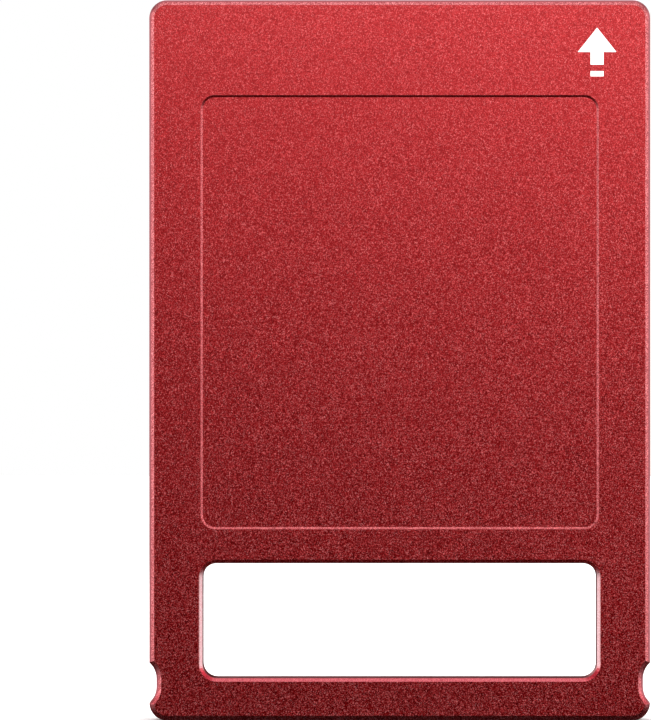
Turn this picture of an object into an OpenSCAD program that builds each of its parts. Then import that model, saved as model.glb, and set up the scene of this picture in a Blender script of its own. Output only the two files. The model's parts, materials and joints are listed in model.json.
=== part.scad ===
// Solid state drive in the 2.5-inch, 7 mm form factor, machined from one block of aluminium, with a
// window through its lower end that serves as a pull handle.
//
// Millimetres. The drive stands on its handle end: X runs across it, Y through its thickness with the
// front face towards -Y, and Z along its length, from the handle end at 0 up to the connector end.
// Every piece is drawn lying on its back and then turned upright by stood(), so in the modules x runs
// across, y along the length, and z through the thickness, from 0 at mid-thickness up to the front.

/* [Body] */
// Width of the drive
body_w = 69.85; // [69:0.05:71]
// Length of the drive
body_l = 100.45; // [100:0.05:104]
// Thickness of the drive
body_t = 7; // [7:0.1:9.5]
// Radius of the four outer corners
corner_r = 2.5; // [2.2:0.1:3]
// Chamfer along the outer edges of both faces
edge_chamfer = 0.7; // [0.3:0.1:0.8]

/* [Face pocket] */
// Width of the shallow pocket in the front face
pocket_w = 55.5; // [40:0.5:58]
// Length of the pocket
pocket_l = 60.5; // [40:0.5:61]
// Corner radius of the pocket
pocket_r = 2; // [1:0.1:4]
// Depth of the pocket, and the width of its sloping wall
pocket_depth = 0.3; // [0.1:0.05:0.5]
// Distance from the connector end to the pocket
pocket_top = 13.25; // [12.5:0.25:16]

/* [Handle window] */
// Width of the window through the handle end
window_w = 55; // [40:0.5:56]
// Length of the window
window_l = 16; // [12:0.1:16.5]
// Corner radius of the window
window_r = 2; // [1:0.1:4]
// Distance from the handle end to the window
window_bottom = 5.95; // [5:0.05:6.5]
// Chamfer around the window on both faces
window_chamfer = 0.5; // [0.2:0.1:0.8]

/* [Side notches] */
// Depth of the latch notch in each side
notch_depth = 1; // [0.6:0.1:1.4]
// Radius of the cutter that makes the notch
notch_r = 3; // [2.6:0.1:3.4]
// Height of the middle of the notch above the handle end
notch_y = 5.3; // [5.3:0.1:5.8]
// Straight stretch at the bottom of the notch
notch_flat = 1.1; // [0.8:0.1:1.4]
// Rounding of the nose between the notch and the outer corner
nose_r = 0.5; // [0.3:0.1:0.6]

/* [Cavity and cover] */
// Width of the cavity for the electronics
cavity_w = 55; // [55:0.1:55.4]
// Lower end of the cavity
cavity_bottom = 25.2; // [25:0.1:25.6]
// Upper end of the cavity
cavity_top = 95.8; // [95.8:0.1:96.2]
// Front wall between the cavity and the front face
front_wall = 1.3; // [1.2:0.1:1.6]
// Thickness of the back cover
cover_t = 1.1; // [1:0.05:1.1]
// Ledge that the back cover rests on, all around the cavity
ledge = 1.25; // [0.8:0.05:1.3]

/* [Screws] */
// Shank radius of the cover and board screws
screw_r = 1; // [0.8:0.1:1]
// Length of a cover screw
cover_screw_l = 4; // [3:0.5:4]
// Radius of the screw heads
screw_head_r = 1.9; // [1.6:0.1:1.9]

/* [Mounting holes] */
// Radius of the M3 tapping drill
mount_r = 1.25; // [1.2:0.05:1.3]
// Distance across the drive between the holes in the back
mount_pitch = 61.72; // [61.72]
// Distance from the connector end to the nearer holes
mount_near = 14; // [14]
// Distance from the connector end to the farther holes
mount_far = 90.6; // [90.6]
// Height of the side holes above the back face
side_hole_height = 3; // [2.8:0.1:3.2]

/* [Connector] */
// Distance from the middle of the drive to the middle of the connector
plug_x = 4.8; // [4.8]
// Width of the connector
plug_w = 42.73; // [42.5:0.01:42.8]
// Distance between neighbouring contacts
contact_pitch = 1.27; // [1.27]
// Thickness of the contact tongues
tongue_t = 1.23; // [1.2:0.01:1.26]
// Length of the contact tongues
tongue_l = 4.9; // [4.8:0.1:5]

/* [Electronics] */
// Width of the circuit board
board_w = 53.6; // [53:0.1:54]
// Thickness of the circuit board
board_t = 1; // [0.8:0.1:1]
// Lower end of the circuit board
board_bottom = 26.6; // [26.2:0.1:27]
// Upper end of the circuit board
board_top = 94.2; // [94:0.1:94.4]
// Height of the flash and controller packages
chip_t = 1.1; // [0.9:0.1:1.3]

/* [Hidden] */
$fn = 48;
eps = 0.02;
front = body_t / 2;
back = -body_t / 2;

// Cavity, its lugs for the cover screws and its posts for the board screws
cavity_r = 2;
cavity_floor = front - front_wall;
cavity_l = cavity_top - cavity_bottom;
cavity_y = (cavity_top + cavity_bottom) / 2;
cover_inner = back + cover_t;
cover_gap = 0.05;
cover_w = cavity_w + 2 * ledge;
cover_l = cavity_l + 2 * ledge;
cover_r = cavity_r + ledge;
cover_edge_chamfer = 0.2;
lug_r = 2.2;
lug_x = cavity_w / 2 - 1.8;
lug_ys = [cavity_bottom + 3.3, cavity_y, cavity_top - 7.8];
lugs = [for (side = [-1, 1], y = lug_ys) [side * lug_x, y]];
post_r = 2.2;
posts = [for (side = [-1, 1], y = [32.5, 83.8]) [side * 21.8, y]];

// Label on the cover and mark on the front face
label_w = 45;
label_l = 60;
label_t = 0.1;
label_r = 1.5;
mark_x = 27.5;
mark_y = 93.2;
mark_t = 0.1;
mark_w = 5.4;
mark_l = 6.8;

// Circuit board: its faces, and the room that its cut-outs leave around the lugs
board_front = -0.8;
board_back = board_front - board_t;
board_l = board_top - board_bottom;
board_y = (board_top + board_bottom) / 2;
board_r = 1;
board_hole_r = 1.15;
lug_clearance = 0.35;
board_screw_head_t = 0.4;
board_screw_l = 3.4;
film_t = 0.1;

// Connector: the signal and power tongues, with a keyed leg at the end of each next to the gap
plug_end = body_l - 0.25;
tongue_y = plug_end - tongue_l;
plug_bottom = 91;
plug_top_z = 1.7;
signal_count = 7;
power_count = 15;
group_gap = 6.35;
contact_span = (signal_count + power_count - 2) * contact_pitch + group_gap;
signal_x = plug_x - contact_span / 2;
power_x = signal_x + (signal_count - 1) * contact_pitch + group_gap;
tongue_outer = 0.82;
tongue_inner = 1.97;
signal_tongue = [signal_x - tongue_outer, signal_x + (signal_count - 1) * contact_pitch + tongue_inner];
power_tongue = [power_x - tongue_inner, power_x + (power_count - 1) * contact_pitch + tongue_outer];
leg_w = 1.1;
leg_h = 2.4;
arm_w = 1.37;
contact_w = 0.84;
contact_t = 0.15;
contact_proud = 0.05;
// Contacts that mate late stop this much short of the ones that mate first
late_contact = 0.5;
early_signals = [0, 3, 6];
early_powers = [3, 4, 9, 11];
peg_r = 0.5;
pegs = [for (side = [-1, 1]) [plug_x + side * (plug_w / 2 - 1.7), plug_bottom + 1.9]];
opening_w = 43.4;
opening_r = 0.8;

// Components on the board: [x, y, width, length, height], or only [x, y] where all are alike
nand_size = [14, 18, chip_t];
nand_places = [for (y = [38.5, 58.5], side = [-1, 1]) [side * 9.5, y]];
controller_place = [-1, 78.5];
controller_size = [14, 14, 0.35];
controller_cap = [13, 13, chip_t];
dram = [-14.2, 78.5, 9, 13, 1];
power_chip = [14, 79.5, 5, 5, 0.9];
firmware_chip = [13.2, 87.2, 6, 5, 0.75];
inductor_size = 4;
inductor_t = 2;
inductor_places = [[12.6, 73.2], [17.4, 73.2], [20.2, 78.2]];
bulk_size = [4.3, 7.3, 1.9];
bulk_places = [for (i = [0:3]) [-20.4, 39.4 + 8 * i]];
ceramic_size = [1.6, 0.8, 0.8];
ceramic_places = [for (x = [19.2, 21.8], i = [0:10]) [x, 39.4 + 2.6 * i]];
decoupler_size = [1, 0.5, 0.4];
decoupler_places = [for (i = [-1.5:1.5], j = [-1.5:1.5]) controller_place + 2.4 * [i, j]];
resistor_size = [1, 0.5, 0.35];
resistor_places = concat([for (i = [-6:6]) [2.1 * i, 48.5]], [for (i = [-4:4]) [1.6 * i - 1, 87.4]]);
crystal_place = [-1, 69.4];
fuse = [19.6, 88.7, 3.2, 1.6, 0.6];
surge_diode = [6.6, 88.6, 2.6, 1.6, 1];
load_switch = [-9.6, 88.4, 3, 3, 0.8];
heat_sensor = [0, 29.4, 1.6, 1.6, 0.6];

// Turns a piece from the way it is drawn, on its back, to the way the drive stands.
module stood() rotate([90, 0, 0]) children();

// A rounded rectangle, centred.
module rounded_rect(w, l, r) {
    square([w, l - 2 * r], center = true);
    square([w - 2 * r, l], center = true);
    for (x = [-1, 1], y = [-1, 1]) translate([x * (w / 2 - r), y * (l / 2 - r)]) circle(r);
}

// A rounded plate between two heights.
module plate(w, l, r, z0, z1) translate([0, 0, z0]) linear_extrude(height = z1 - z0) rounded_rect(w, l, r);

// The strip of a shaped plate that lies outside the centres of its corners, cut across: `wall` lists
// [how far the wall stands outside the outline, height] from the lowest height to the highest.
module wall_strip(r, wall) {
    last = len(wall) - 1;
    polygon(concat([[0, wall[0][1]]], [for (p = wall) [r + p[0], p[1]]], [[0, wall[last][1]]]));
}

// A rounded plate, centred, whose wall slopes as wall_strip() says: straight strips along its four
// sides and a quarter turn of the same strip at each corner.
module shaped_plate(w, l, r, wall) {
    z0 = wall[0][1];
    z1 = wall[len(wall) - 1][1];
    inner = [w - 2 * r, l - 2 * r];
    translate([-inner[0] / 2, -inner[1] / 2, z0]) cube([inner[0], inner[1], z1 - z0]);
    for (turn = [0:3]) rotate(90 * turn) {
        across = inner[turn % 2] / 2;
        along = inner[1 - turn % 2];
        translate([across, 0, 0]) rotate([90, 0, 0])
            linear_extrude(height = along, center = true) wall_strip(r, wall);
        translate([across, along / 2, 0]) rotate_extrude(angle = 90) wall_strip(r, wall);
    }
}

// The wall of a plate with a chamfer on both faces, and of a cutter that leaves one on both.
function chamfered_wall(c) = [[-c, back], [0, back + c], [0, front - c], [-c, front]];
function flared_wall(c) = [[c + eps, back - eps], [0, back + c], [0, front - c], [c + eps, front + eps]];

// Where two circles cross, on the side that `hand` says.
function crossing(a, ra, b, rb, hand) =
    let (d = norm(b - a), u = (b - a) / d, t = (ra * ra - rb * rb + d * d) / (2 * d))
    a + t * u + hand * sqrt(ra * ra - t * t) * [-u[1], u[0]];

// The latch notch in the right-hand side, with the drive's own chamfer around it.
module notch() {
    cutter_w = 4 * notch_r;
    translate([body_w / 2 - notch_depth + cutter_w / 2, notch_y, 0])
        shaped_plate(cutter_w, 2 * notch_r + notch_flat, notch_r, flared_wall(edge_chamfer));
}

// Cuts the sharp nose between the notch and the outer corner back to a rounding of nose_r. The rounding
// touches the corner's circle from inside and the notch's from outside, and tapers away in the chamfers.
module nose_cutter() {
    corner = [body_w / 2 - corner_r, corner_r];
    notch_end = [body_w / 2 - notch_depth + notch_r, notch_y - notch_flat / 2];
    nose = crossing(corner, corner_r - nose_r, notch_end, notch_r + nose_r, -1);
    reach = 4 * nose_r;
    full = front - edge_chamfer;
    difference() {
        translate([0, 0, back - eps]) linear_extrude(height = body_t + 2 * eps) polygon([
            nose,
            nose + reach * (nose - corner) / norm(nose - corner),
            nose + reach * (notch_end - nose) / norm(notch_end - nose),
        ]);
        translate([nose[0], nose[1], 0]) rotate_extrude()
            polygon([[0, -full - nose_r], [nose_r, -full], [nose_r, full], [0, full + nose_r]]);
    }
}

// The cavity seen from the back: a rounded rectangle that leaves the lugs standing at its walls.
module cavity_outline() difference() {
    rounded_rect(cavity_w, cavity_l, cavity_r);
    for (p = lugs) translate([p[0], p[1] - cavity_y]) {
        circle(lug_r);
        translate([p[0] > 0 ? 0 : -lug_r, -lug_r]) square([lug_r, 2 * lug_r]);
    }
}

// The space inside the shell: the cavity around the lugs and the posts, and the step for the cover.
module cavity() {
    difference() {
        translate([0, cavity_y, cover_inner - eps])
            linear_extrude(height = cavity_floor - cover_inner + eps) cavity_outline();
        for (p = posts) translate([p[0], p[1], board_front])
            cylinder(r = post_r, h = cavity_floor - board_front + eps);
    }
    step = [cover_w + 2 * cover_gap, cover_l + 2 * cover_gap, cover_r + cover_gap];
    translate([0, cavity_y, 0]) plate(step[0], step[1], step[2], back - eps, cover_inner);
}

// The opening in the end wall for the mating connector, from the cavity's floor to the cover.
module plug_opening() translate([plug_x, cavity_top - eps, (cavity_floor + cover_inner) / 2])
    rotate([-90, 0, 0]) linear_extrude(height = body_l - cavity_top + 2 * eps)
        rounded_rect(opening_w, cavity_floor - cover_inner, opening_r);

// A tapped hole from z = 0 down to its depth, with a slight countersink at its mouth.
module tapped_hole(r, depth) {
    mouth = 0.2;
    translate([0, 0, -depth]) cylinder(r = r, h = depth + eps);
    translate([0, 0, -mouth]) cylinder(r1 = r, r2 = r + mouth + eps, h = mouth + eps);
}

// The four holes in the back and the two in each side, at the places of the 2.5-inch standard.
module mounting_holes() {
    back_depth = 3;
    side_depth = 2.5;
    for (y = [body_l - mount_near, body_l - mount_far], side = [-1, 1]) {
        translate([side * mount_pitch / 2, y, back]) rotate([180, 0, 0]) tapped_hole(mount_r, back_depth);
        translate([side * body_w / 2, y, back + side_hole_height]) rotate([0, side * 90, 0])
            tapped_hole(mount_r, side_depth);
    }
}

// The mark by the connector end: an arrow that shows which way the drive goes in, over a bar.
module mark_outline() {
    head_l = 0.5 * mark_l;
    stem_w = 0.34 * mark_w;
    bar_l = 0.11 * mark_l;
    stem_end = 0.24 * mark_l;
    polygon([
        [0, mark_l], [mark_w / 2, mark_l - head_l], [stem_w / 2, mark_l - head_l], [stem_w / 2, stem_end],
        [-stem_w / 2, stem_end], [-stem_w / 2, mark_l - head_l], [-mark_w / 2, mark_l - head_l],
    ]);
    translate([-stem_w / 2, 0]) square([stem_w, bar_l]);
}

// The arrow as a thin layer, flush with the front face.
module mark(extra = 0) translate([mark_x, mark_y - mark_l / 2, front - mark_t])
    linear_extrude(height = mark_t + extra) mark_outline();

// Milled body: faces, rails, handle and walls in one piece.
module front_shell() color([0.66, 0.13, 0.15]) stood() difference() {
    translate([0, body_l / 2, 0]) shaped_plate(body_w, body_l, corner_r, chamfered_wall(edge_chamfer));
    translate([0, body_l - pocket_top - pocket_l / 2, front])
        shaped_plate(pocket_w, pocket_l, pocket_r, [[-pocket_depth, -pocket_depth], [eps, eps]]);
    translate([0, window_bottom + window_l / 2, 0])
        shaped_plate(window_w, window_l, window_r, flared_wall(window_chamfer));
    for (side = [0, 1]) mirror([side, 0, 0]) {
        notch();
        nose_cutter();
    }
    cavity();
    plug_opening();
    mounting_holes();
    for (p = lugs) translate([p[0], p[1], cover_inner - eps])
        cylinder(r = screw_r, h = cover_screw_l - cover_t + eps);
    for (p = posts) translate([p[0], p[1], board_front - eps])
        cylinder(r = screw_r, h = board_screw_l - board_t + eps);
    mark(eps);
}

// Flat plate in the step at the back, with countersunk screw holes and a recess for the label.
module back_cover() color([0.62, 0.12, 0.14]) stood() difference() {
    translate([0, cavity_y, 0]) shaped_plate(cover_w, cover_l, cover_r,
        [[-cover_edge_chamfer, back], [0, back + cover_edge_chamfer], [0, cover_inner]]);
    translate([0, cavity_y, 0]) plate(label_w, label_l, label_r, back - eps, back + label_t);
    sink_r = screw_head_r + 0.05;
    for (p = lugs) translate([p[0], p[1], back - eps]) {
        cylinder(r = screw_r + 0.1, h = cover_t + 2 * eps);
        cylinder(r1 = sink_r + eps, r2 = screw_r, h = sink_r - screw_r + eps);
    }
}

// Six-lobed driver recess, cut down from z = 0.
module driver_recess(depth) translate([0, 0, -eps]) linear_extrude(height = depth + eps) {
    circle(0.62);
    for (a = [0:60:300]) rotate(a) translate([0.64, 0]) circle(0.2);
}

// Countersunk screws that hold the cover on the lugs.
module cover_screws() color("silver") stood() for (p = lugs) translate([p[0], p[1], back]) difference() {
    rotate_extrude() polygon([
        [0, 0], [screw_head_r, 0], [screw_r, screw_head_r - screw_r],
        [screw_r, cover_screw_l - 0.2], [screw_r - 0.2, cover_screw_l], [0, cover_screw_l],
    ]);
    driver_recess(0.6);
}

module front_mark() color("white") stood() mark();

module rear_label() color("gainsboro") stood() translate([0, cavity_y, 0])
    plate(label_w, label_l, label_r, back, back + label_t);

// Film inside the cover that keeps the board from touching metal.
module insulating_film() color("goldenrod") stood() translate([0, cavity_y, 0])
    plate(2 * (lug_x - lug_r) - 1, cavity_l - 8, 1, cover_inner, cover_inner + film_t);

// Board with cut-outs around the lugs, screw holes and holes for the connector's pegs.
module circuit_board() color("darkgreen") stood() translate([0, 0, board_back])
    linear_extrude(height = board_t) difference() {
        translate([0, board_y]) rounded_rect(board_w, board_l, board_r);
        for (p = lugs) translate([p[0], p[1]]) {
            clear_r = lug_r + lug_clearance;
            circle(clear_r);
            translate([p[0] > 0 ? 0 : -clear_r, -clear_r]) square([clear_r, 2 * clear_r]);
        }
        for (p = posts) translate([p[0], p[1]]) circle(board_hole_r);
        for (p = pegs) translate([p[0], p[1]]) circle(peg_r + 0.05);
    }

// Thin-headed screws that hold the board on the posts.
module board_screws() color("silver") stood() for (p = posts)
    translate([p[0], p[1], board_back - board_screw_head_t]) difference() {
        union() {
            cylinder(r = screw_head_r, h = board_screw_head_t);
            cylinder(r = screw_r, h = board_screw_head_t + board_screw_l - 0.1);
        }
        driver_recess(0.3);
    }

// The outline of one contact seen from the side, from its tail on the board to its tip.
module contact_outline(tip) {
    low = -tongue_t / 2 - contact_proud;
    tail = plug_bottom - 1.2;
    bend = plug_bottom + 0.3;
    polygon([
        [tail, board_front], [bend, board_front], [bend + 0.5, low], [tip, low],
        [tip, low + contact_t], [bend + 0.5, low + contact_t], [bend, board_front + contact_t],
        [tail, board_front + contact_t],
    ]);
}

// A row of contacts; those listed in `early` reach further, and so mate first.
module contact_row(x, count, early) for (i = [0:count - 1])
    translate([x + i * contact_pitch, 0, 0]) rotate([90, 0, 90])
        linear_extrude(height = contact_w, center = true)
            contact_outline(plug_end - 0.5 - (search(i, early) != [] ? 0 : late_contact));

// A tongue that carries contacts, with a bevelled tip, from one x to another.
module tongue(from, to) {
    bevel = 0.3;
    half = tongue_t / 2;
    translate([from, 0, 0]) rotate([90, 0, 90]) linear_extrude(height = to - from) polygon([
        [tongue_y - eps, -half], [plug_end - bevel, -half], [plug_end, -half + bevel],
        [plug_end, half - bevel], [plug_end - bevel, half], [tongue_y - eps, half],
    ]);
}

// Moulded connector body: base on the board, two tongues with keyed legs, and a guide arm at each end.
module sata_plug_housing() color([0.08, 0.08, 0.09]) stood() difference() {
    flange_t = 1;
    guide_l = tongue_l - 0.4;
    left = plug_x - plug_w / 2;
    union() {
        translate([left, plug_bottom, board_front])
            cube([plug_w, tongue_y - plug_bottom, plug_top_z - board_front]);
        translate([left, tongue_y - flange_t, board_back])
            cube([plug_w, flange_t, plug_top_z - board_back]);
        for (x = [left, left + plug_w - arm_w])
            translate([x, tongue_y - eps, board_back]) cube([arm_w, guide_l, plug_top_z - board_back]);
        tongue(signal_tongue[0], signal_tongue[1]);
        tongue(power_tongue[0], power_tongue[1]);
        for (x = [signal_tongue[1] - leg_w, power_tongue[0]])
            translate([x, tongue_y - eps, tongue_t / 2 - leg_h])
                cube([leg_w, guide_l, leg_h - tongue_t / 2]);
    }
    contact_row(signal_x, signal_count, early_signals);
    contact_row(power_x, power_count, early_powers);
    for (p = pegs) translate([p[0], p[1], board_front - eps]) cylinder(r = peg_r, h = 1 + eps);
}

module signal_contacts() color("gold") stood() contact_row(signal_x, signal_count, early_signals);

module power_contacts() color("gold") stood() contact_row(power_x, power_count, early_powers);

// Pegs that anchor the connector in the board.
module plug_hold_downs() color("silver") stood() for (p = pegs)
    translate([p[0], p[1], board_back - 0.3]) cylinder(r = peg_r, h = board_t + 1.3);

// A block on the front of the board: its middle in x and y, and its size.
module on_board(x, y, size) translate([x - size[0] / 2, y - size[1] / 2, board_front]) cube(size);

// The same from one list of [x, y, width, length, height].
module part_on_board(p) on_board(p[0], p[1], [p[2], p[3], p[4]]);

// Controller: a thin carrier with a moulded cap.
module controller_chip() color([0.12, 0.12, 0.13]) stood() {
    on_board(controller_place[0], controller_place[1], controller_size);
    on_board(controller_place[0], controller_place[1], controller_cap);
}

module cache_memory_chip() color([0.1, 0.1, 0.11]) stood() part_on_board(dram);

module flash_chip(i) color([0.1, 0.1, 0.11]) stood()
    on_board(nand_places[i - 1][0], nand_places[i - 1][1], nand_size);

module power_management_chip() color([0.14, 0.14, 0.15]) stood() part_on_board(power_chip);

module firmware_chip() color([0.14, 0.14, 0.15]) stood() part_on_board(firmware_chip);

module load_switch() color([0.14, 0.14, 0.15]) stood() part_on_board(load_switch);

// Moulded power inductors with cut corners.
module power_inductors() color([0.3, 0.3, 0.32]) stood() for (p = inductor_places)
    translate([p[0], p[1], board_front]) linear_extrude(height = inductor_t) intersection() {
        square(inductor_size, center = true);
        rotate(45) square(1.25 * inductor_size, center = true);
    }

// Capacitors that carry the drive through a loss of power.
module bulk_capacitors() color("darkorange") stood()
    for (p = bulk_places) on_board(p[0], p[1], bulk_size);

module ceramic_capacitors() color("tan") stood()
    for (p = ceramic_places) on_board(p[0], p[1], ceramic_size);

// Small capacitors on the back of the board, behind the controller.
module decoupling_capacitors() color("tan") stood()
    translate([0, 0, board_back - board_front - decoupler_size[2]])
        for (p = decoupler_places) on_board(p[0], p[1], decoupler_size);

module chip_resistors() color([0.1, 0.1, 0.12]) stood()
    for (p = resistor_places) on_board(p[0], p[1], resistor_size);

// Clock crystal: a ceramic base under a metal lid.
module crystal_oscillator() color("silver") stood() {
    on_board(crystal_place[0], crystal_place[1], [3.2, 2.5, 0.4]);
    on_board(crystal_place[0], crystal_place[1], [2.8, 2.1, 0.8]);
}

module input_fuse() color("white") stood() part_on_board(fuse);

module surge_diode() color([0.1, 0.1, 0.11]) stood() part_on_board(surge_diode);

module temperature_sensor() color([0.1, 0.1, 0.11]) stood() part_on_board(heat_sensor);

// A soft pad that fills the gap between the top of a chip and the front wall.
module thermal_pad(x, y, w, l) translate([x - w / 2, y - l / 2, board_front + chip_t])
    cube([w, l, cavity_floor - board_front - chip_t]);

module controller_thermal_pad() color("lightsteelblue") stood()
    thermal_pad(controller_place[0], controller_place[1], controller_cap[0] - 1, controller_cap[1] - 1);

module flash_thermal_pads() color("lightsteelblue") stood()
    for (p = nand_places) thermal_pad(p[0], p[1], nand_size[0] - 2, nand_size[1] - 2);

front_shell();
back_cover();
cover_screws();
front_mark();
rear_label();
insulating_film();
circuit_board();
board_screws();
sata_plug_housing();
signal_contacts();
power_contacts();
plug_hold_downs();
controller_chip();
cache_memory_chip();
flash_chip(1);  // flash_chip_1
flash_chip(2);  // flash_chip_2
flash_chip(3);  // flash_chip_3
flash_chip(4);  // flash_chip_4
power_management_chip();
firmware_chip();
load_switch();
power_inductors();
bulk_capacitors();
ceramic_capacitors();
decoupling_capacitors();
chip_resistors();
crystal_oscillator();
input_fuse();
surge_diode();
temperature_sensor();
controller_thermal_pad();
flash_thermal_pads();
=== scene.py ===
import json
import math

import bpy
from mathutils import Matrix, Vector


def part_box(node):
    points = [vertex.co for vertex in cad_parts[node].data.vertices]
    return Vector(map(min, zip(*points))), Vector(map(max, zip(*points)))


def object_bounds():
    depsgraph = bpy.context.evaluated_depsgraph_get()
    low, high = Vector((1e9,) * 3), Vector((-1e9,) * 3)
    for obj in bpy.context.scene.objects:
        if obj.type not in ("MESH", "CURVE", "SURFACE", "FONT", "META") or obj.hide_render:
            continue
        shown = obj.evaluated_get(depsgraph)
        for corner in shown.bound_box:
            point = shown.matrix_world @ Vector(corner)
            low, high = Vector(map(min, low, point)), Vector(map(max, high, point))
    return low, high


MM = 0.001
WHITE = (1.0, 1.0, 1.0)

# Most of a noise texture's values lie between these two
NOISE_LOW = 0.3
NOISE_HIGH = 0.7

# Camera: level with the middle of the drive and square to its front face
CAMERA_DISTANCE = 0.95
CAMERA_HEIGHT = 0.05028
SENSOR = 36.0
FRAMED_HEIGHT = 0.10033
CAMERA_SHIFT_X = -0.1031
CLIP_START = 0.05

# Studio: the white behind the drive, and how brightly each side of the room lights it
BACKDROP_WHITE = 1.0
WALL_LEFT = 1.72
WALL_RIGHT = 1.52
CEILING = 1.3
BELOW = 0.06

# Where the sides of the room fade in or out, as the X or Z of a direction of length 1
WALL_EDGE = (0.55, 0.85)
WALL_FOOT = (-0.35, 0.0)
WALL_TOP = (0.3, 0.65)
CEILING_EDGE = (0.62, 0.88)
BELOW_EDGE = (-0.1, -0.6)

# Floor: a wide disc that glows, least at the drive's foot, where the shadow is. The glow reaches its
# full strength this far to the sides, and this many times sooner in front and behind
FLOOR_RADIUS = 2.0
FLOOR_SIDES = 96
FLOOR_PATCHES = 0.4
FLOOR_TONES = ((0.86, 0.86, 0.86), (0.88, 0.88, 0.88))
SHADOW_GLOW = 0.05
OPEN_GLOW = 0.7
GLOW_REACH = 60 * MM
GLOW_HASTE = 4.0

# Anodised aluminium: the size and lean of its grains, among which glints are painted. Their contrast is 1
# at the foot and falls to the calm value at the calm height
GRAIN = 0.10 * MM
GRAIN_TILT = 0.05
CALM_HEIGHT = 90 * MM
CALM_CONTRAST = 0.38

# Its colours, as linear red, green and blue: ramps over the grains' tones, with painted shade, light and
# glints among them; pairs of dark and light grains, as painted highlight, light and shade; and plain ones,
# the face's colour and two painted shades
FACE_DYE = (0.475, 0.029, 0.033)
FACE_GRAINS_AND_GLINTS = ((0.0, (0.05, 0.0, 0.0)), (0.5, (0.40, 0.004, 0.007)),
               (0.85, (0.80, 0.085, 0.09)), (1.0, (1.0, 0.30, 0.31)))
CUT_GRAINS_AND_GLINTS = ((0.0, (0.26, 0.030, 0.036)), (0.5, (0.59, 0.105, 0.115)), (1.0, (1.0, 0.34, 0.36)))
CUT_FOOT_SHADE = (0.36, 0.085, 0.10)
HIGHLIGHT_GRAINS = ((0.88, 0.45, 0.47), (1.0, 0.74, 0.76))
LIT_GRAINS = ((0.58, 0.06, 0.08), (1.0, 0.25, 0.29))
SHADED_GRAINS = ((0.36, 0.012, 0.025), (0.84, 0.050, 0.080))
WALL_SHADE = (0.20, 0.010, 0.013)

# Bounds of the painted light and shade in the handle window and the side notches, from the middle line
# and from the foot
WINDOW_SIDE = 28.1 * MM
WINDOW_TOP = 22.6 * MM
NOTCH_SIDE = 33.0 * MM
NOTCH_TOP = 8.0 * MM

# Distances from the middle of the thickness: the foot of the window's chamfers, and just under the face
CHAMFER_FOOT = 3.0 * MM
UNDER_FACE = 3.45 * MM

# Label: its margin, the width of its rules, the height of its dark band, and the rows of boxes below
LABEL_MARGIN = 2.0 * MM
LABEL_RULE = 0.15 * MM
LABEL_BAND = 9.0 * MM
LABEL_ROWS = 5

# Circuit board: the blocks that its tracks turn in, the spacing of tracks and of vias, and the
# radius of a via as a share of its spacing
TRACK_BLOCK = 7 * MM
TRACK_PITCH = 0.55 * MM
VIA_PITCH = 2.2 * MM
VIA_RADIUS = 0.12

# The round mark in the corner of a chip, as shares of the chip's shorter side
MARK_INSET = 0.14
MARK_RADIUS = 0.05

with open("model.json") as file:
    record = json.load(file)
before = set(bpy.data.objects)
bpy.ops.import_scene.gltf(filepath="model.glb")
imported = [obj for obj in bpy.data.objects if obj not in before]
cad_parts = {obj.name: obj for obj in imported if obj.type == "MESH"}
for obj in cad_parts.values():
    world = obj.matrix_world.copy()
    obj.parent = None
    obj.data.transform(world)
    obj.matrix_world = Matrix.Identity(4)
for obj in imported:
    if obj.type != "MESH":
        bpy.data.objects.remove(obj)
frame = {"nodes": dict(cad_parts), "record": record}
cad_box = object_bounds()
scene = bpy.context.scene
nodes = frame["nodes"]


class Graph:
    """A node tree, and short calls for the nodes that go into it."""

    def __init__(self, tree):
        self.tree = tree

    def node(self, kind, **settings):
        made = self.tree.nodes.new(kind)
        for key, value in settings.items():
            setattr(made, key, value)
        return made

    def feed(self, value, socket):
        """Link a node's output to a socket, or set the socket to a number or a colour."""
        if isinstance(value, bpy.types.NodeSocket):
            self.tree.links.new(value, socket)
        elif isinstance(value, tuple) and len(value) == 3 and socket.type == "RGBA":
            socket.default_value = (*value, 1.0)
        else:
            socket.default_value = value

    def axis(self, index, vector):
        """One part of a vector: 0 for X, 1 for Y, 2 for Z."""
        split = self.node("ShaderNodeSeparateXYZ")
        self.feed(vector, split.inputs["Vector"])
        return split.outputs[index]

    def maths(self, operation, a, b=0.0):
        made = self.node("ShaderNodeMath", operation=operation)
        self.feed(a, made.inputs[0])
        self.feed(b, made.inputs[1])
        return made.outputs["Value"]

    def product(self, *values):
        total = values[0]
        for value in values[1:]:
            total = self.maths("MULTIPLY", total, value)
        return total

    def largest(self, *values):
        most = values[0]
        for value in values[1:]:
            most = self.maths("MAXIMUM", most, value)
        return most

    def size_of(self, value):
        """The value without its sign."""
        return self.maths("ABSOLUTE", value)

    def spread(self, value, low, high, to_low, to_high, shape="LINEAR"):
        """Take the range from low to high to the one from to_low to to_high, and go no further."""
        made = self.node("ShaderNodeMapRange", interpolation_type=shape)
        for key, number in (("From Min", low), ("From Max", high), ("To Min", to_low), ("To Max", to_high)):
            made.inputs[key].default_value = number
        self.feed(value, made.inputs["Value"])
        return made.outputs["Result"]

    def rises(self, value, start, end):
        """0 up to the start, and 1 from the end on."""
        return self.spread(value, start, end, 0.0, 1.0)

    def falls(self, value, start, end):
        """1 up to the start, and 0 from the end on."""
        return self.spread(value, start, end, 1.0, 0.0)


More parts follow.
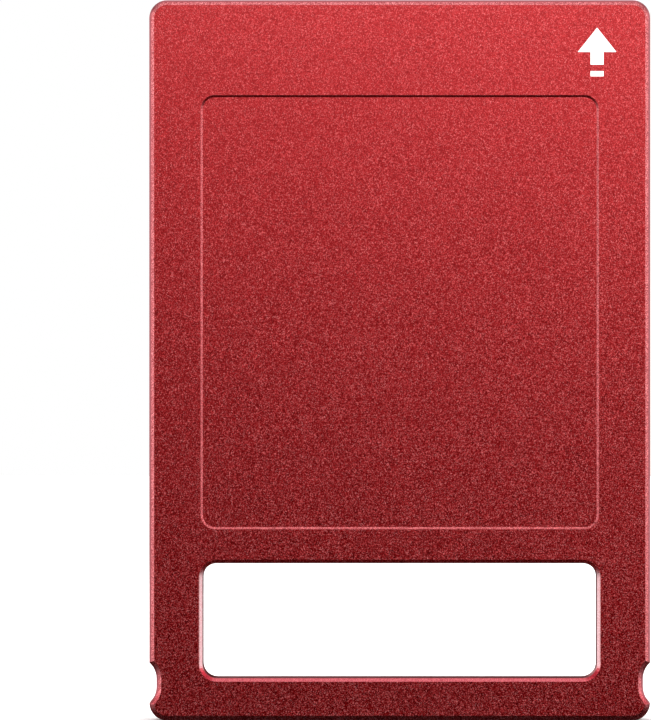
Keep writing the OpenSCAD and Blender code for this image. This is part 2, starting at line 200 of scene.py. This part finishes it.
class Material(Graph):
    """A material with a Principled shader, and short calls for the patterns that feed it."""

    def __init__(self, name):
        self.material = bpy.data.materials.new(name)
        self.material.use_nodes = True
        super().__init__(self.material.node_tree)
        self.shader = self.tree.nodes["Principled BSDF"]
        self.place = self.node("ShaderNodeTexCoord").outputs["Object"]

    def set(self, **values):
        """Set the shader's sockets by name, with _ for a space."""
        for key, value in values.items():
            self.feed(value, self.shader.inputs[key.replace("_", " ")])

    def along(self, index):
        """The place along X, Y or Z."""
        return self.axis(index, self.place)

    def geometry(self, output):
        return self.node("ShaderNodeNewGeometry").outputs[output]

    def channel(self, colour, index):
        """One part of a colour: 0 for red, 1 for green, 2 for blue."""
        split = self.node("ShaderNodeSeparateColor")
        self.feed(colour, split.inputs["Color"])
        return split.outputs[index]

    def stretched(self, scale):
        """The place, scaled by a different amount along each axis."""
        made = self.node("ShaderNodeVectorMath", operation="MULTIPLY")
        self.feed(self.place, made.inputs[0])
        made.inputs[1].default_value = scale
        return made.outputs["Vector"]

    def noise(self, size, detail=2.0, stretch=(1.0, 1.0, 1.0)):
        """Cloudy noise with features of this size, drawn out along an axis whose stretch is below 1."""
        made = self.node("ShaderNodeTexNoise")
        made.inputs["Scale"].default_value = 1.0 / size
        made.inputs["Detail"].default_value = detail
        self.feed(self.stretched(stretch), made.inputs["Vector"])
        return made.outputs["Fac"]

    def vary(self, noise, low=0.0, high=1.0):
        """Take a noise's usual values to the range from low to high."""
        return self.spread(noise, NOISE_LOW, NOISE_HIGH, low, high)

    def cells(self, size):
        """A random colour for each grain of this size."""
        made = self.node("ShaderNodeTexVoronoi")
        made.inputs["Scale"].default_value = 1.0 / size
        self.feed(self.place, made.inputs["Vector"])
        return made.outputs["Color"]

    def dots(self, size, radius):
        """1 in round dots, one to a cell of this size, and 0 between. The radius is a share of the size."""
        made = self.node("ShaderNodeTexVoronoi")
        made.inputs["Scale"].default_value = 1.0 / size
        self.feed(self.stretched((1.0, 0.0, 1.0)), made.inputs["Vector"])
        return self.rises(made.outputs["Distance"], radius, 0.8 * radius)

    def each_piece(self):
        """A random number for each separate solid of a group."""
        return self.geometry("Random Per Island")

    def between(self, value, low, high, soft=0.03 * MM):
        """1 where the value lies from low to high, 0 outside."""
        return self.product(self.rises(value, low - soft, low + soft),
                            self.falls(value, high - soft, high + soft))

    def mix(self, factor, a, b):
        """A colour from a, where the factor is 0, to b, where it is 1."""
        made = self.node("ShaderNodeMix", data_type="RGBA")
        for key, value in (("Factor", factor), ("A", a), ("B", b)):
            self.feed(value, next(s for s in made.inputs if s.name == key and s.enabled))
        return next(s for s in made.outputs if s.enabled)

    def ramp(self, value, stops):
        """A colour that runs through the stops, which are pairs of a value and a colour."""
        made = self.node("ShaderNodeValToRGB")
        points = made.color_ramp.elements
        while len(points) < len(stops):
            points.new(0.5)
        for point, (place, colour) in zip(points, stops):
            point.position = place
            point.color = (*colour, 1.0)
        self.feed(value, made.inputs["Fac"])
        return made.outputs["Color"]

    def bands(self, node_name, axis, count, length, width):
        """1 on the end bands of each piece of a row, where equal pieces lie along this axis."""
        low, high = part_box(node_name)
        pitch = (high[axis] - low[axis] - length) / (count - 1)
        from_gap = self.maths("SUBTRACT", self.along(axis), low[axis] + length / 2 - pitch / 2)
        from_centre = self.maths("SUBTRACT", self.maths("MODULO", from_gap, pitch), pitch / 2)
        return self.rises(self.size_of(from_centre), length / 2 - width, length / 2 - 0.95 * width)

    def edges(self, radius):
        """1 along edges sharper than this radius, 0 on flat ground."""
        rounded = self.node("ShaderNodeBevel", samples=4)
        rounded.inputs["Radius"].default_value = radius
        match = self.node("ShaderNodeVectorMath", operation="DOT_PRODUCT")
        self.feed(rounded.outputs["Normal"], match.inputs[0])
        self.feed(self.geometry("Normal"), match.inputs[1])
        return self.rises(match.outputs["Value"], 0.99, 0.85)

    def tilted(self, cells, tilt):
        """Lean the surface's normal a different way in each grain."""
        lean = self.node("ShaderNodeVectorMath", operation="MULTIPLY_ADD")
        self.feed(cells, lean.inputs[0])
        lean.inputs[1].default_value = (2 * tilt,) * 3
        lean.inputs[2].default_value = (-tilt,) * 3
        total = self.node("ShaderNodeVectorMath", operation="ADD")
        self.feed(self.geometry("Normal"), total.inputs[0])
        self.feed(lean.outputs["Vector"], total.inputs[1])
        unit = self.node("ShaderNodeVectorMath", operation="NORMALIZE")
        self.feed(total.outputs["Vector"], unit.inputs[0])
        self.set(Normal=unit.outputs["Vector"])

    def bump(self, height, distance, strength=1.0):
        """Raise the surface where the height is large, by up to this distance."""
        made = self.node("ShaderNodeBump")
        made.inputs["Strength"].default_value = strength
        made.inputs["Distance"].default_value = distance
        self.feed(height, made.inputs["Height"])
        self.set(Normal=made.outputs["Normal"])


def anodised(name):
    """Bead-blasted aluminium anodised red, its oxide thinner and paler at cut chamfers, with painted light
    and shade.
    """
    m = Material(name)
    grains = m.cells(GRAIN)
    face_tone, cut_tone, polish = [m.channel(grains, index) for index in range(3)]
    from_side = m.size_of(m.along(0))
    from_middle = m.size_of(m.along(1))
    height = m.along(2)
    facing = m.geometry("True Normal")
    side_lean = m.size_of(m.axis(0, facing))
    front_lean = m.size_of(m.axis(1, facing))
    up_lean = m.axis(2, facing)
    chamfer = m.falls(m.size_of(m.maths("SUBTRACT", front_lean, math.sqrt(0.5))), 0.05, 0.2)
    in_window = m.product(m.falls(from_side, WINDOW_SIDE, WINDOW_SIDE + 0.1 * MM),
                          m.falls(height, WINDOW_TOP, WINDOW_TOP + 0.2 * MM))
    in_notch = m.product(m.rises(from_side, NOTCH_SIDE, NOTCH_SIDE + 0.2 * MM),
                         m.falls(height, NOTCH_TOP, NOTCH_TOP + 0.4 * MM))

    # Faces: red grains, with painted glints among them, which stand out most at the foot
    contrast = m.spread(height, 0.0, CALM_HEIGHT, 1.0, CALM_CONTRAST)
    colour = m.mix(contrast, FACE_DYE, m.ramp(face_tone, FACE_GRAINS_AND_GLINTS))

    # Chamfers, but not the ones that face down: paler, as cut and as painted highlight; those facing down
    # keep the face's colour as painted shade. A plain strip farthest from the face is darker, as painted
    # shade
    pale = m.product(chamfer, m.rises(up_lean, -0.5, -0.2))
    strip = m.falls(from_middle, CHAMFER_FOOT, CHAMFER_FOOT + 0.15 * MM)
    colour = m.mix(pale, colour, m.mix(strip, m.ramp(cut_tone, CUT_GRAINS_AND_GLINTS), CUT_FOOT_SHADE))

    # Side chamfers of the window: nearly white, a painted highlight, but less so right under the face
    rubbed = m.product(in_window, chamfer, m.rises(side_lean, 0.62, 0.70),
                       m.spread(from_middle, UNDER_FACE, UNDER_FACE - 0.1 * MM, 0.25, 1.0))
    colour = m.mix(rubbed, colour, m.mix(cut_tone, *HIGHLIGHT_GRAINS))

    # Upward chamfers of the window and, at half strength, of the notches: a strong red painted as lit from
    # above, and darkest, as painted shade, where they turn to the side
    lit_from_above = m.product(m.largest(in_window, m.product(in_notch, 0.5)), chamfer,
                     m.rises(up_lean, 0.05, 0.3),
                     m.rises(from_middle, CHAMFER_FOOT, CHAMFER_FOOT + 0.1 * MM))
    turning = m.product(m.rises(side_lean, 0.1, 0.3), m.rises(up_lean, 0.1, 0.3))
    lit_and_shaded = m.mix(turning, m.mix(cut_tone, *LIT_GRAINS), m.mix(cut_tone, *SHADED_GRAINS))
    colour = m.mix(lit_from_above, colour, lit_and_shaded)

    # Inner walls of the window: dark, as painted shade
    wall = m.product(in_window, m.falls(from_middle, CHAMFER_FOOT - 0.1 * MM, CHAMFER_FOOT),
                     m.falls(front_lean, 0.1, 0.2))
    colour = m.mix(wall, colour, WALL_SHADE)

    m.set(Base_Color=colour, Roughness=m.spread(polish, 0.0, 1.0, 0.38, 0.48))
    m.set(Metallic=1.0, Coat_Weight=0.25, Coat_Roughness=0.25)
    m.tilted(grains, GRAIN_TILT)
    return m.material


def blackened_steel(name):
    """Black oxide with a fine turned grain, rubbed to bare steel along the edges of the drive recess."""
    m = Material(name)
    grain = m.noise(0.10 * MM, detail=3.0)
    patches = m.noise(0.8 * MM)
    bare = m.product(m.edges(0.08 * MM), m.spread(patches, 0.35, 0.65, 0.15, 0.8))
    oxide = m.mix(m.vary(grain), (0.030, 0.030, 0.034), (0.075, 0.076, 0.084))
    m.set(Base_Color=m.mix(bare, oxide, (0.42, 0.42, 0.43)), Metallic=1.0)
    m.set(Roughness=m.vary(patches, 0.28, 0.46))
    m.bump(grain, distance=0.006 * MM, strength=0.6)
    return m.material


def bright_steel(name):
    """Nickel-plated steel with fine drawn scratches."""
    m = Material(name)
    scratches = m.noise(0.06 * MM, detail=3.0, stretch=(1.0, 1.0, 0.08))
    patches = m.noise(1.2 * MM)
    plating = m.mix(m.vary(patches), (0.56, 0.55, 0.53), (0.70, 0.69, 0.67))
    m.set(Base_Color=m.mix(m.edges(0.06 * MM), plating, (0.84, 0.83, 0.81)), Metallic=1.0)
    m.set(Roughness=m.vary(scratches, 0.20, 0.38))
    m.bump(scratches, distance=0.003 * MM, strength=0.6)
    return m.material


def white_ink(name):
    """Screen-printed ink: matt, with the mesh's faint ripple and thinner specks."""
    m = Material(name)
    ripple = m.noise(0.10 * MM)
    thin = m.rises(m.noise(0.22 * MM, detail=3.0), 0.66, 0.74)
    m.set(Base_Color=m.mix(thin, (0.86, 0.86, 0.855), (0.78, 0.75, 0.75)))
    m.set(Roughness=m.vary(ripple, 0.42, 0.58))
    m.bump(ripple, distance=0.004 * MM, strength=0.5)
    return m.material


def label_foil(name, node_name):
    """Silver label stock, ruled with blank boxes under a dark band."""
    m = Material(name)
    low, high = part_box(node_name)
    left = low[0] + LABEL_MARGIN
    right = high[0] - LABEL_MARGIN
    bottom = low[2] + LABEL_MARGIN
    top = high[2] - LABEL_MARGIN
    across = m.along(0)
    height = m.along(2)

    def block(x_low, x_high, z_low, z_high):
        return m.product(m.between(across, x_low, x_high), m.between(height, z_low, z_high))

    pitch = (top - bottom - LABEL_BAND) / LABEL_ROWS
    rows = [bottom + pitch * i for i in range(LABEL_ROWS)]
    middle = (left + right) / 2
    band = block(left, right, top - LABEL_BAND, top)
    rules = [block(left, right, z, z + LABEL_RULE) for z in rows]
    sides = [block(x, x + LABEL_RULE, bottom, top) for x in (left, right - LABEL_RULE)]
    divider = block(middle, middle + LABEL_RULE, rows[1], rows[-1])
    ink = m.largest(band, *rules, *sides, divider)

    fibre = m.noise(0.25 * MM, detail=4.0)
    drawn = m.noise(0.5 * MM, detail=3.0, stretch=(0.1, 1.0, 1.0))
    stock = m.mix(m.vary(fibre), (0.42, 0.42, 0.415), (0.52, 0.52, 0.515))
    stock = m.mix(m.product(m.edges(0.25 * MM), 0.6), stock, (0.66, 0.66, 0.65))
    m.set(Base_Color=m.mix(ink, stock, (0.055, 0.055, 0.06)), Metallic=0.35)
    m.set(Roughness=m.vary(drawn, 0.34, 0.52))
    m.bump(m.maths("ADD", m.product(drawn, 0.5), m.product(ink, 0.6)), distance=0.01 * MM, strength=0.6)
    return m.material


def amber_film(name):
    """Polyimide film: clear amber, glossy, with slack ripples."""
    m = Material(name)
    ripples = m.noise(6 * MM, detail=3.0, stretch=(1.0, 1.0, 0.5))
    scuffs = m.noise(0.3 * MM, detail=4.0, stretch=(0.2, 1.0, 1.0))
    m.set(Base_Color=m.mix(m.rises(ripples, 0.35, 0.65), (0.46, 0.17, 0.012), (0.66, 0.30, 0.035)))
    m.set(Roughness=m.vary(scuffs, 0.10, 0.28), Coat_Weight=0.5, Coat_Roughness=0.08)
    m.bump(ripples, distance=0.15 * MM, strength=0.5)
    return m.material


def board_laminate(name):
    """Glass-fibre board under solder resist, with bundles of tracks that stand proud, and tinned vias."""
    m = Material(name)
    blocks = m.node("ShaderNodeTexVoronoi", distance="CHEBYCHEV")
    blocks.inputs["Scale"].default_value = 1.0 / TRACK_BLOCK
    m.feed(m.stretched((1.0, 0.0, 1.0)), blocks.inputs["Vector"])
    chosen = blocks.outputs["Color"]
    upright = m.maths("GREATER_THAN", m.channel(chosen, 0), 0.5)
    level = m.maths("SUBTRACT", 1.0, upright)
    routed = m.maths("GREATER_THAN", m.channel(chosen, 1), 0.45)
    across = m.maths("ADD", m.product(m.along(0), upright), m.product(m.along(2), level))
    ripple = m.maths("SINE", m.product(across, math.tau / TRACK_PITCH))
    tracks = m.product(m.rises(ripple, 0.25, 0.45), routed)
    vias = m.dots(VIA_PITCH, VIA_RADIUS)
    weave = m.noise(0.35 * MM, stretch=(1.0, 1.0, 0.25))
    resist = m.mix(m.vary(weave), (0.004, 0.040, 0.020), (0.007, 0.055, 0.027))
    resist = m.mix(tracks, resist, (0.010, 0.095, 0.042))
    m.set(Base_Color=m.mix(vias, resist, (0.62, 0.60, 0.56)), Metallic=vias)
    m.set(Roughness=m.vary(weave, 0.24, 0.38), Coat_Weight=0.4, Coat_Roughness=0.15)
    m.bump(m.maths("ADD", tracks, m.product(weave, 0.2)), distance=0.03 * MM, strength=0.7)
    return m.material


def connector_plastic(name):
    """Glass-filled black moulding: a fine spark texture, flow streaks and paler rubbed edges."""
    m = Material(name)
    texture = m.noise(0.08 * MM, detail=3.0)
    flow = m.noise(1.5 * MM, detail=3.0, stretch=(0.15, 1.0, 1.0))
    body = m.mix(m.vary(flow), (0.012, 0.012, 0.013), (0.024, 0.024, 0.026))
    m.set(Base_Color=m.mix(m.product(m.edges(0.10 * MM), 0.7), body, (0.075, 0.075, 0.08)))
    m.set(Roughness=m.vary(texture, 0.42, 0.62))
    m.bump(texture, distance=0.010 * MM, strength=0.6)
    return m.material


def gold_plate(name):
    """Gold over nickel, with faint wiping marks where the contacts have mated."""
    m = Material(name)
    wiping = m.noise(0.05 * MM, detail=3.0, stretch=(1.0, 1.0, 0.05))
    patches = m.noise(0.6 * MM)
    m.set(Base_Color=m.mix(m.vary(patches), (0.86, 0.53, 0.17), (0.98, 0.70, 0.30)))
    m.set(Metallic=1.0, Roughness=m.vary(wiping, 0.14, 0.34))
    m.bump(wiping, distance=0.003 * MM, strength=0.6)
    return m.material


def chip_epoxy(name, chips):
    """Black mould compound: a sandy matt top with a smooth round mark at the first contact's corner."""
    m = Material(name)
    across = m.along(0)
    height = m.along(2)

    def corner_mark(chip):
        low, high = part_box(chip)
        size = min(high[0] - low[0], high[2] - low[2])
        from_x = m.maths("SUBTRACT", across, low[0] + MARK_INSET * size)
        from_z = m.maths("SUBTRACT", height, high[2] - MARK_INSET * size)
        distance = m.maths("SQRT", m.maths("ADD", m.product(from_x, from_x), m.product(from_z, from_z)))
        return m.falls(distance, 0.9 * MARK_RADIUS * size, 1.1 * MARK_RADIUS * size)

    mark = m.largest(*[corner_mark(chip) for chip in chips])
    sand = m.noise(0.06 * MM, detail=3.0)
    swirl = m.noise(2.5 * MM, detail=3.0)
    compound = m.mix(m.vary(swirl), (0.014, 0.014, 0.016), (0.028, 0.028, 0.030))
    compound = m.mix(m.product(m.edges(0.06 * MM), 0.5), compound, (0.07, 0.07, 0.075))
    m.set(Base_Color=m.mix(mark, compound, (0.055, 0.055, 0.058)))
    m.set(Roughness=m.maths("SUBTRACT", m.vary(sand, 0.48, 0.68), m.product(mark, 0.25)))
    m.bump(m.maths("SUBTRACT", m.product(sand, 0.4), mark), distance=0.02 * MM, strength=0.7)
    return m.material


def ceramic(node_name, low, high, roughness, gloss=0.0, bands=None):
    """A fired or moulded body: its grains vary within each piece, and the pieces from each other."""
    m = Material(node_name)
    grains = m.noise(0.05 * MM, detail=3.0)
    tone = m.maths("ADD", m.product(m.vary(grains), 0.6), m.product(m.each_piece(), 0.4))
    chipped = tuple(0.3 + 0.7 * c for c in high)
    body = m.mix(m.product(m.edges(0.05 * MM), 0.35), m.mix(tone, low, high), chipped)
    if bands:
        band = m.bands(node_name, bands["axis"], bands["count"], bands["length"], bands["width"])
        body = m.mix(band, body, bands["colour"])
        if bands["metal"]:
            m.set(Metallic=band)
    m.set(Base_Color=body, Roughness=m.vary(grains, 0.85 * roughness, 1.15 * roughness))
    m.set(Coat_Weight=gloss, Coat_Roughness=0.12)
    m.bump(grains, distance=0.006 * MM, strength=0.6)
    return m.material


def pad_silicone(name):
    """Filled silicone sheet: soft, matt and mottled, with pores."""
    m = Material(name)
    mottle = m.noise(0.9 * MM, detail=4.0)
    pores = m.rises(m.noise(0.12 * MM), 0.62, 0.72)
    body = m.mix(m.vary(mottle), (0.28, 0.34, 0.42), (0.40, 0.47, 0.55))
    m.set(Base_Color=m.mix(pores, body, (0.18, 0.22, 0.28)))
    m.set(Roughness=m.vary(mottle, 0.62, 0.80))
    m.set(Subsurface_Weight=0.1, Subsurface_Scale=0.3 * MM)
    m.bump(m.maths("SUBTRACT", m.product(mottle, 0.5), pores), distance=0.03 * MM, strength=0.6)
    return m.material


def slot_nodes(slot):
    """The nodes that take this material slot."""
    return [part["node"] for part in frame["record"]["subparts"] if part["material_slot"] == slot]


# One material for each of these slots
materials = {
    "anodised_shell": anodised("anodised_shell"),
    "anodised_cover": anodised("anodised_cover"),
    "black_steel": blackened_steel("black_steel"),
    "bright_steel": bright_steel("bright_steel"),
    "white_ink": white_ink("white_ink"),
    "label_foil": label_foil("label_foil", "rear_label"),
    "amber_film": amber_film("amber_film"),
    "board_laminate": board_laminate("board_laminate"),
    "connector_plastic": connector_plastic("connector_plastic"),
    "gold_plate": gold_plate("gold_plate"),
    "chip_epoxy": chip_epoxy("chip_epoxy", slot_nodes("chip_epoxy")),
    "pad_silicone": pad_silicone("pad_silicone"),
}
# One material for each node of these slots, because some nodes have bands of their own
CERAMICS = {
    "inductor_ferrite": {"low": (0.045, 0.045, 0.05), "high": (0.11, 0.11, 0.115), "roughness": 0.6},
    "tantalum_epoxy": {"low": (0.60, 0.22, 0.015), "high": (0.80, 0.36, 0.045),
                       "roughness": 0.45, "gloss": 0.1},
    "capacitor_ceramic": {"low": (0.30, 0.18, 0.09), "high": (0.48, 0.32, 0.18),
                          "roughness": 0.35, "gloss": 0.2},
    "resistor_glaze": {"low": (0.012, 0.012, 0.016), "high": (0.03, 0.03, 0.04),
                       "roughness": 0.25, "gloss": 0.4},
    "fuse_ceramic": {"low": (0.70, 0.70, 0.66), "high": (0.84, 0.84, 0.80), "roughness": 0.3, "gloss": 0.3},
}
# Bands across both ends of each piece: how many pieces a node has along the axis, and how long they are
TINNED = {"colour": (0.62, 0.61, 0.58), "metal": True}
BANDS = {
    "ceramic_capacitors": {"axis": 0, "count": 2, "length": 1.6 * MM, "width": 0.35 * MM, **TINNED},
    "decoupling_capacitors": {"axis": 0, "count": 4, "length": 1.0 * MM, "width": 0.25 * MM, **TINNED},
    "bulk_capacitors": {"axis": 2, "count": 4, "length": 7.3 * MM, "width": 1.0 * MM,
                        "colour": (0.30, 0.10, 0.008), "metal": False},
}


def paint(node_name, material):
    """Give a node this material in place of what it had."""
    piece = nodes[node_name]
    piece.data.materials.clear()
    piece.data.materials.append(material)


def make_world():
    """A dark room with bright walls and ceiling, which the camera sees as plain white."""
    world = bpy.data.worlds.new("studio")
    world.use_nodes = True
    world.node_tree.nodes.clear()
    scene.world = world
    w = Graph(world.node_tree)

    def fades(value, start, end, to_low, to_high):
        return w.spread(value, start, end, to_low, to_high, shape="SMOOTHSTEP")

    direction = w.node("ShaderNodeTexCoord").outputs["Generated"]
    x = w.axis(0, direction)
    z = w.axis(2, direction)
    right = fades(x, WALL_EDGE[0], WALL_EDGE[1], 0.0, WALL_RIGHT)
    left = fades(x, -WALL_EDGE[0], -WALL_EDGE[1], 0.0, WALL_LEFT)
    level = w.product(fades(z, *WALL_FOOT, 0.0, 1.0), fades(z, *WALL_TOP, 1.0, 0.0))
    walls = w.product(w.maths("ADD", right, left), level)
    top = fades(z, *CEILING_EDGE, 0.0, CEILING)
    below = fades(z, *BELOW_EDGE, 0.0, BELOW)
    studio = w.maths("ADD", w.maths("ADD", walls, top), below)

    mixer = w.node("ShaderNodeMix", data_type="FLOAT")
    w.feed(w.node("ShaderNodeLightPath").outputs["Is Camera Ray"], mixer.inputs[0])
    w.feed(studio, mixer.inputs[2])
    w.feed(BACKDROP_WHITE, mixer.inputs[3])
    background = w.node("ShaderNodeBackground")
    w.feed(WHITE, background.inputs["Color"])
    w.feed(mixer.outputs[0], background.inputs["Strength"])
    w.feed(background.outputs["Background"], w.node("ShaderNodeOutputWorld").inputs["Surface"])


def area_light(name, place, aim_height, width, height, watts):
    """A soft box, aimed at this height above the middle of the drive's foot and not seen by the camera."""
    data = bpy.data.lights.new(name, "AREA")
    data.shape = "RECTANGLE"
    data.size = width
    data.size_y = height
    data.energy = watts
    lamp = bpy.data.objects.new(name, data)
    lamp.location = place
    aim = Vector((0.0, 0.0, aim_height)) - Vector(place)
    lamp.rotation_euler = aim.to_track_quat("-Z", "Y").to_euler()
    lamp.visible_camera = False
    scene.collection.objects.link(lamp)


def make_floor():
    """A pale disc under the drive, which neither casts a shadow nor shows in reflections."""
    mesh = bpy.data.meshes.new("studio_floor")
    turns = [math.tau * i / FLOOR_SIDES for i in range(FLOOR_SIDES)]
    ring = [(FLOOR_RADIUS * math.cos(turn), FLOOR_RADIUS * math.sin(turn), 0.0) for turn in turns]
    mesh.from_pydata(ring, [], [range(FLOOR_SIDES)])
    floor = bpy.data.objects.new("studio_floor", mesh)
    scene.collection.objects.link(floor)
    m = Material("studio_floor")
    to_side = m.largest(m.maths("SUBTRACT", m.size_of(m.along(0)), cad_box[1][0]), 0.0)
    to_front = m.largest(m.maths("SUBTRACT", m.size_of(m.along(1)), cad_box[1][1]), 0.0)
    away = m.maths("ADD", to_side, m.product(to_front, GLOW_HASTE))
    glow = m.spread(away, 0.0, GLOW_REACH, SHADOW_GLOW, OPEN_GLOW)
    m.set(Base_Color=m.mix(m.vary(m.noise(FLOOR_PATCHES)), *FLOOR_TONES))
    m.set(Roughness=0.8, Specular_IOR_Level=0.2, Emission_Color=WHITE, Emission_Strength=glow)
    floor.data.materials.append(m.material)
    floor.visible_glossy = False
    floor.visible_shadow = False


def make_camera():
    camera = bpy.data.objects.new("camera", bpy.data.cameras.new("camera"))
    camera.location = (0.0, cad_box[0][1] - CAMERA_DISTANCE, CAMERA_HEIGHT)
    camera.rotation_euler = (math.radians(90), 0.0, 0.0)
    camera.data.sensor_width = SENSOR
    camera.data.lens = SENSOR * CAMERA_DISTANCE / FRAMED_HEIGHT
    camera.data.shift_x = CAMERA_SHIFT_X
    camera.data.clip_start = CLIP_START
    scene.collection.objects.link(camera)
    return camera


for slot, material in materials.items():
    for node_name in slot_nodes(slot):
        paint(node_name, material)
for slot, finish in CERAMICS.items():
    for node_name in slot_nodes(slot):
        paint(node_name, ceramic(node_name, bands=BANDS.get(node_name), **finish))

make_world()
make_floor()
# front_low stands below the floor, which casts no shadow and so lets its light through
area_light("right_key", place=(0.20, -0.25, 0.20), aim_height=0.07, width=0.40, height=0.30, watts=0.53)
area_light("top_strip", place=(0.0, -0.22, 0.18), aim_height=0.09, width=0.50, height=0.14, watts=0.53)
area_light("front_low", place=(-0.40, -0.42, -0.08), aim_height=0.05, width=0.35, height=0.35, watts=0.2)
area_light("back_left", place=(-0.30, 0.45, 0.30), aim_height=0.05, width=0.45, height=0.45, watts=2.2)
area_light("back_right", place=(0.40, 0.35, 0.25), aim_height=0.05, width=0.35, height=0.35, watts=1.0)

bpy.context.scene.camera = make_camera()
scene.view_settings.view_transform = "Standard"
